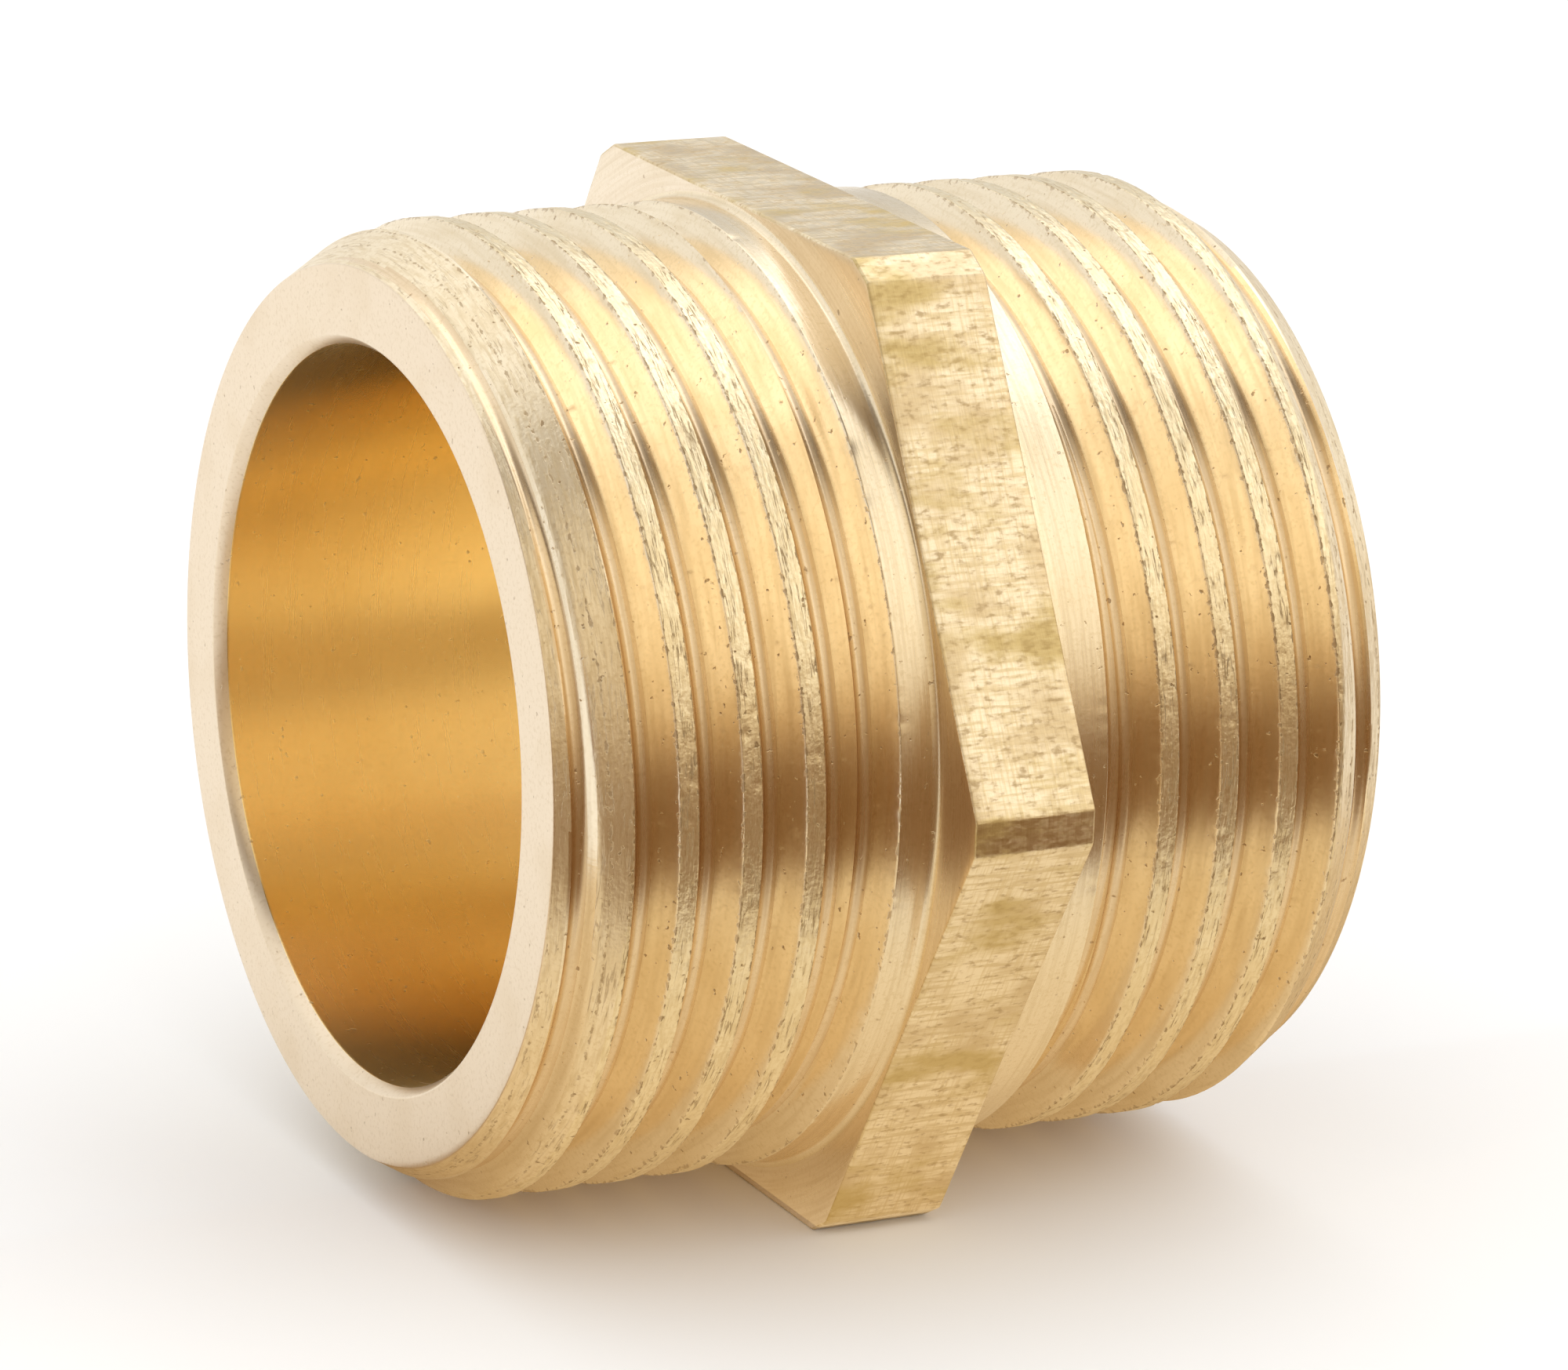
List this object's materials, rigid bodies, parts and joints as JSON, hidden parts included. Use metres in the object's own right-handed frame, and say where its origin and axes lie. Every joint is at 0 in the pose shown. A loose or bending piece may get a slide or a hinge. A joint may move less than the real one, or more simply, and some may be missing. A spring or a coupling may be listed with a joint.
{
  "type": "hex nipple",
  "caption": "Short brass pipe connector with a right-hand parallel male thread on each side of a hexagonal wrench collar and a plain bore right through it.",
  "frame": {"origin": "on the bore axis, in the middle of the hexagonal collar, which is the middle of the overall length", "axes": "+X along the bore, from the front end to the rear end; +Z out of one flat of the hexagon; +Y out of one corner of the hexagon"},
  "size_m": [0.0244, 0.0306, 0.027],
  "materials": {
    "brass": "machined, lightly nicked"
  },
  "bodies": {
    "root": {"nipple_body": "brass"}
  },
  "joints": []
}
